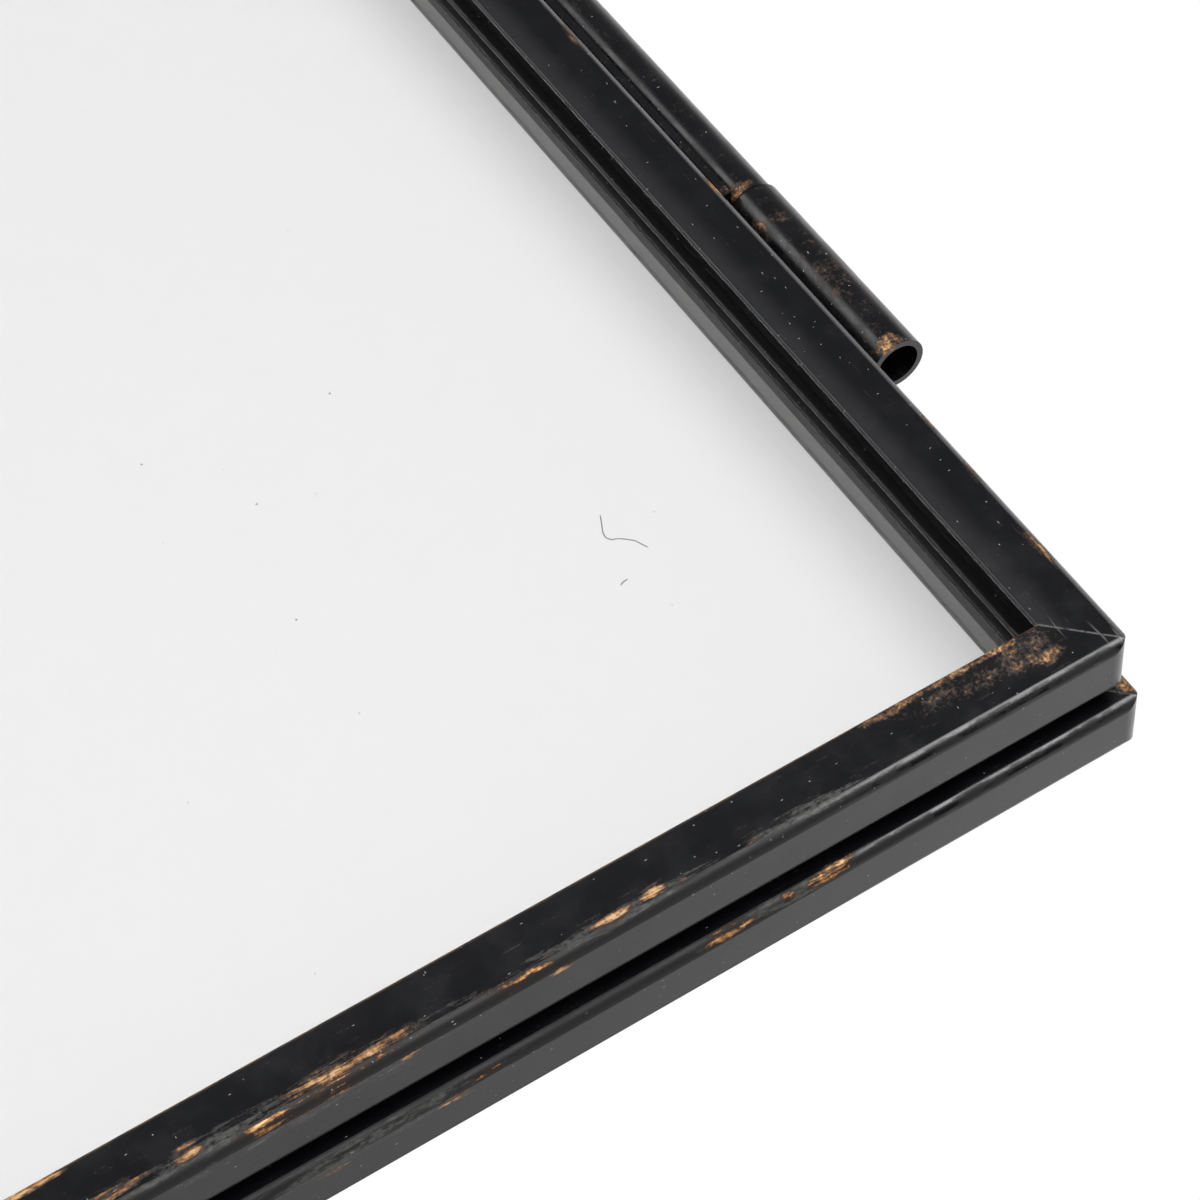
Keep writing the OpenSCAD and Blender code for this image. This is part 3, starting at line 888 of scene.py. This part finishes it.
# %% Hook, stud, eye and ring
fittings = lacquer("fitting_lacquer_x", "x", fold_wear=0.30, all_over=0.30, pits=0.6, scuffs=0.3)
wear_it(["latch_pivot", "latch_washer", "latch_hook", "latch_stud", "hanger_eye", "hanging_ring"],
        fittings)

# %% [markdown]
# ## Hinge pin
#
# The pin is drawn brass wire, dulled inside the knuckles. It could be plain metal, but
# the drawing leaves fine lines along it, which noise drawn out along Y gives.

# %% Hinge pin
TARNISHED = (0.20, 0.12, 0.05, 1)
DRAWN_BRASS = (0.42, 0.27, 0.12, 1)
WIRE_BREAKS = (0.3, 0.7)
WIRE_GLOSS = (0.28, 0.5)
pin = Paint("dull_pin_brass")
pin.give("Base Color", pin.mix(noise(pin, scale=3.0, stretch=(1, 0.1, 1)), TARNISHED, DRAWN_BRASS))
pin.give("Metallic", 1.0)
lines = noise(pin, scale=6.0, stretch=(1, 0.05, 1))
pin.give("Roughness", pin.ramp(lines, *WIRE_BREAKS, *WIRE_GLOSS))
wear_it(["hinge_pin"], pin.material)

# %% [markdown]
# ## Packing and pads
#
# Thin grey strips pack the panes into their channels, and show through the glass as a
# pale band. Four black pads keep the closed leaves apart. Both are matt and finely
# grained, so one function makes them and takes the two greys to vary between.

# %% Packing and pads
RUBBER_BREAKS = (0.3, 0.7)
RUBBER_GLOSS = (0.55, 0.75)
RUBBER_RELIEF = 0.3
RUBBER_DEPTH = 0.00003


def rubber(name, dark, light):
    """A matt, finely grained material between two greys."""
    coat = Paint(name)
    coat.give("Base Color", coat.mix(noise(coat, scale=3.5, detail=4.0, rough=0.6), dark, light))
    coat.give("Roughness", coat.ramp(noise(coat, scale=9.0), *RUBBER_BREAKS, *RUBBER_GLOSS))
    bump(coat, noise(coat, scale=12.0), RUBBER_RELIEF, RUBBER_DEPTH)
    return coat.material


packing = rubber("grey_packing", dark=(0.20, 0.20, 0.197, 1), light=(0.30, 0.30, 0.296, 1))
wear_it(["rear_packing", "front_packing"], packing)
pads = rubber("black_pads", dark=(0.008, 0.008, 0.008, 1), light=(0.014, 0.014, 0.014, 1))
wear_it(["spacer_pads"], pads)

# %% [markdown]
# ## A hair and dust on the glass
#
# A dark hair, a short fibre and some grains lie on the front pane. As separate meshes
# they would be pieces of the frame, which they are not. So they are painted: a grain is
# the distance from its place, and a strand is the distance from the nearest of the short
# straight steps between its places. The places were measured in the photograph, in mm to
# the left of the pane's lower right corner and above it.

# %% Hair and dust
PANE = box_mm(["front_pane"])
SKIN = 0.1
LINT_CORE = 0.4
glass = Paint("clear_glass")
flat = glass.vector("MULTIPLY", glass.mm, (1, 1, 0))


def on_pane(left, above):
    """A place on the front pane, in mm from its lower right corner."""
    return Vector((PANE.high[0] - left, PANE.low[1] + above, 0))


def grain(place, radius):
    """A dark grain at a place on the pane."""
    return glass.ramp(glass.vector("DISTANCE", flat, on_pane(*place)), radius, radius * LINT_CORE)


def strand(places, radius):
    """A dark thread through places on the pane."""
    points = [on_pane(*place) for place in places]
    # Far beyond the thread's radius; each step then brings the gap down.
    gap = PANE.high[0] - PANE.low[0]
    for start, end in zip(points, points[1:]):
        step = end - start
        off = glass.vector("SUBTRACT", flat, start)
        reached = glass.vector("DOT_PRODUCT", off, step)
        share = glass.math("DIVIDE", reached, step.length_squared, clamp=True)
        near = glass.vector("DISTANCE", off, glass.vector("SCALE", step, scale=share))
        gap = glass.math("MINIMUM", near, gap)
    return glass.ramp(gap, radius, radius * LINT_CORE)


hair = [(23.43, 31.85), (23.72, 31.19), (24.11, 30.40), (24.18, 29.88), (23.98, 29.49),
        (23.41, 29.23), (22.99, 28.86), (22.55, 28.41), (22.35, 27.92), (22.11, 27.38)]
fibre = [(24.96, 25.67), (25.34, 25.64), (25.58, 25.51)]
large_grains = [(44.12, 47.42), (46.92, 36.22), (34.22, 53.82), (49.52, 55.82)]
small_grains = [(23.52, 21.82), (44.62, 51.82), (39.92, 45.72), (28.62, 70.62), (61.12, 26.42),
                (51.72, 48.12), (10.82, 16.62), (47.22, 26.32), (41.82, 61.82), (19.92, 29.92)]
lint = [strand(hair, radius=0.065), strand(fibre, radius=0.075)]
lint += [grain(place, radius=0.12) for place in large_grains]
lint += [grain(place, radius=0.08) for place in small_grains]
upper_face = glass.math("GREATER_THAN", glass.split(glass.mm)[2], round(PANE.high[2] - SKIN, 2))
scattered = specks(glass, scale=0.22, size=0.018, share=0.06)
dust = glass.math("MAXIMUM", scattered, glass.times(glass.most(lint), upper_face))
print("on the front pane: 1 hair, 1 fibre and", len(large_grains) + len(small_grains), "grains")

# %% [markdown]
# ## Glass
#
# The panes are clear window glass. Left as it is, the renderer would have to find its way
# to the table through two panes by bent rays, which gives a noisy shadow. So rays that
# only ask for light or shade meet a plain, nearly clear sheet, and only the camera and
# mirror images meet real glass.

# %% Glass
GLASS_IOR = 1.5
ROUGH_LINT = 0.6
CLEAR = (0.995, 0.996, 0.995, 1)
LINT = (0.02, 0.02, 0.02, 1)
LET_THROUGH = (0.97, 0.97, 0.97, 1)
glass.give("Transmission Weight", 1.0)
glass.give("IOR", GLASS_IOR)
glass.give("Base Color", glass.mix(dust, CLEAR, LINT))
glass.give("Roughness", glass.times(dust, ROUGH_LINT))
clear_sheet = glass.tree.nodes.new("ShaderNodeBsdfTransparent")
clear_sheet.inputs["Color"].default_value = LET_THROUGH
rays = glass.rays()
light_only = glass.math("MAXIMUM", rays["Is Shadow Ray"], rays["Is Diffuse Ray"])
glass.show(light_only, glass.shader.outputs[0], clear_sheet.outputs[0], "Material Output")
wear_it(["front_pane", "rear_pane"], glass.material)

# %% [markdown]
# ## White table
#
# The photograph is exposed so that the table is pure white, both seen directly and
# mirrored in the lacquer. Through the panes it keeps part of its shading, which gives the
# soft shade beside the rails. Lamps strong enough to make a real sheet pure white would
# bleach the brass as well. So the table is paper white for shade, and glows evenly for
# the rays that have to see white. In the walls its mirror image is darker towards the
# left.

# %% Table
TABLE_SIZE = 6.0
UNDER_FRAME = 0.00002
PAPER = (0.94, 0.94, 0.94, 1)
PAPER_ROUGH = 0.9
GLOW_THROUGH_GLASS = 0.48
# Between these two places along X, in metres, the mirror image brightens.
MIRROR_LEFT = 0.010
MIRROR_RIGHT = 0.085
MIRROR_DIMMED = 0.36
bpy.ops.mesh.primitive_plane_add(size=TABLE_SIZE, location=(0, 0, low[2] - UNDER_FRAME))
table = bpy.context.object
table.name = "table"
white = Paint("white_table")
white.give("Base Color", PAPER)
white.give("Roughness", PAPER_ROUGH)
glow = white.tree.nodes.new("ShaderNodeEmission")
rays = white.rays()
# Rays bent by glass also count as mirrored, so they are taken off again.
mirrored = white.math("SUBTRACT", rays["Is Glossy Ray"], rays["Is Transmission Ray"], clamp=True)
seen = white.math("MAXIMUM", rays["Is Camera Ray"], mirrored, clamp=True)
through = white.math("MULTIPLY", rays["Is Transmission Ray"], GLOW_THROUGH_GLASS, clamp=True)
across = white.split(white.place["Object"])[0]
shade = white.ramp(across, MIRROR_LEFT, MIRROR_RIGHT, MIRROR_DIMMED, 0.0, smooth=False)
dimmed = white.math("MULTIPLY", shade, mirrored, clamp=True)
white.link(white.math("SUBTRACT", 1.0, dimmed, clamp=True), glow.inputs["Strength"])
glowing = white.math("MAXIMUM", seen, through, clamp=True)
white.show(glowing, white.shader.outputs[0], glow.outputs[0], "Material Output")
table.data.materials.append(white.material)
table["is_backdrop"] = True
print("table at z", round(table.location[2], 5))

# %% [markdown]
# ## Studio light
#
# Glossy black shows little but what it mirrors, so the light is built from what surrounds
# the frame. Lamps would each need a screen and a reflector as objects. Here the same
# things are painted into the sky: an even glow, and over it soft round screens, dark ones
# that the flat faces mirror and bright ones that draw the thin lines on the folds. The
# camera itself sees plain white.

# %% Studio light
EVEN_GLOW = 0.62
# Direction and brightness; full within the first angle, gone beyond the second, in degrees.
SCREENS = {
    "dark screen behind": ((0.27, 0.60, 0.76), 0.14, 22, 42),
    "dark screen low in front": ((0.20, -0.90, 0.30), 0.08, 20, 34),
    "bright panel overhead": ((0.25, -0.08, 0.97), 8.5, 8, 24),
    "small bright panel behind, to the left": ((-0.42, 0.57, 0.70), 2.6, 7, 15),
    "dark screen at the hinge side": ((0.82, 0.34, 0.46), 0.16, 14, 34),
}
world = bpy.data.worlds.new("studio")
bpy.context.scene.world = world
world.use_nodes = True
sky = Nodes(world.node_tree)
looking = sky.tree.nodes.new("ShaderNodeTexCoord").outputs["Generated"]


def screen(level, direction, brightness, inner, outer):
    """The sky's level with a screen: full within the inner angle, none beyond the outer.
    The mix node keeps its two numbers in inputs 2 and 3."""
    facing = sky.vector("DOT_PRODUCT", looking, Vector(direction).normalized())
    inside = sky.ramp(facing, math.cos(math.radians(outer)), math.cos(math.radians(inner)))
    node = sky.tree.nodes.new("ShaderNodeMix")
    sky.link(inside, node.inputs[0])
    sky.link(level, node.inputs[2])
    sky.link(brightness, node.inputs[3])
    return node.outputs[0]


level = EVEN_GLOW
for name, (direction, brightness, inner, outer) in SCREENS.items():
    level = screen(level, direction, brightness, inner, outer)
    print(name, "brightness", brightness, "within", inner, "to", outer, "degrees")

studio_light = sky.tree.nodes["Background"]
seen_light = sky.tree.nodes.new("ShaderNodeBackground")
for light in (studio_light, seen_light):
    light.inputs["Color"].default_value = (1, 1, 1, 1)
sky.link(level, studio_light.inputs["Strength"])
sky.show(sky.rays()["Is Camera Ray"], studio_light.outputs[0], seen_light.outputs[0], "World Output")

# %% [markdown]
# ## View
#
# The film's response could be bent to make the picture prettier. The Standard view leaves
# every colour as it was painted, so that the greys can be compared with the photograph.

# %% View
scene = bpy.context.scene
scene.view_settings.view_transform = "Standard"
scene.view_settings.look = "None"
scene.view_settings.exposure = 0.0
scene.view_settings.gamma = 1.0
print("view:", scene.view_settings.view_transform)

# %% [markdown]
# ## Size once more
#
# The looks must not change the shapes. So the size is measured once more and printed,
# to be set beside the first measure.

# %% Print the size once more
low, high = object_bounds()
print("size in mm:", [round((b - a) * 1000, 2) for a, b in zip(low, high)])
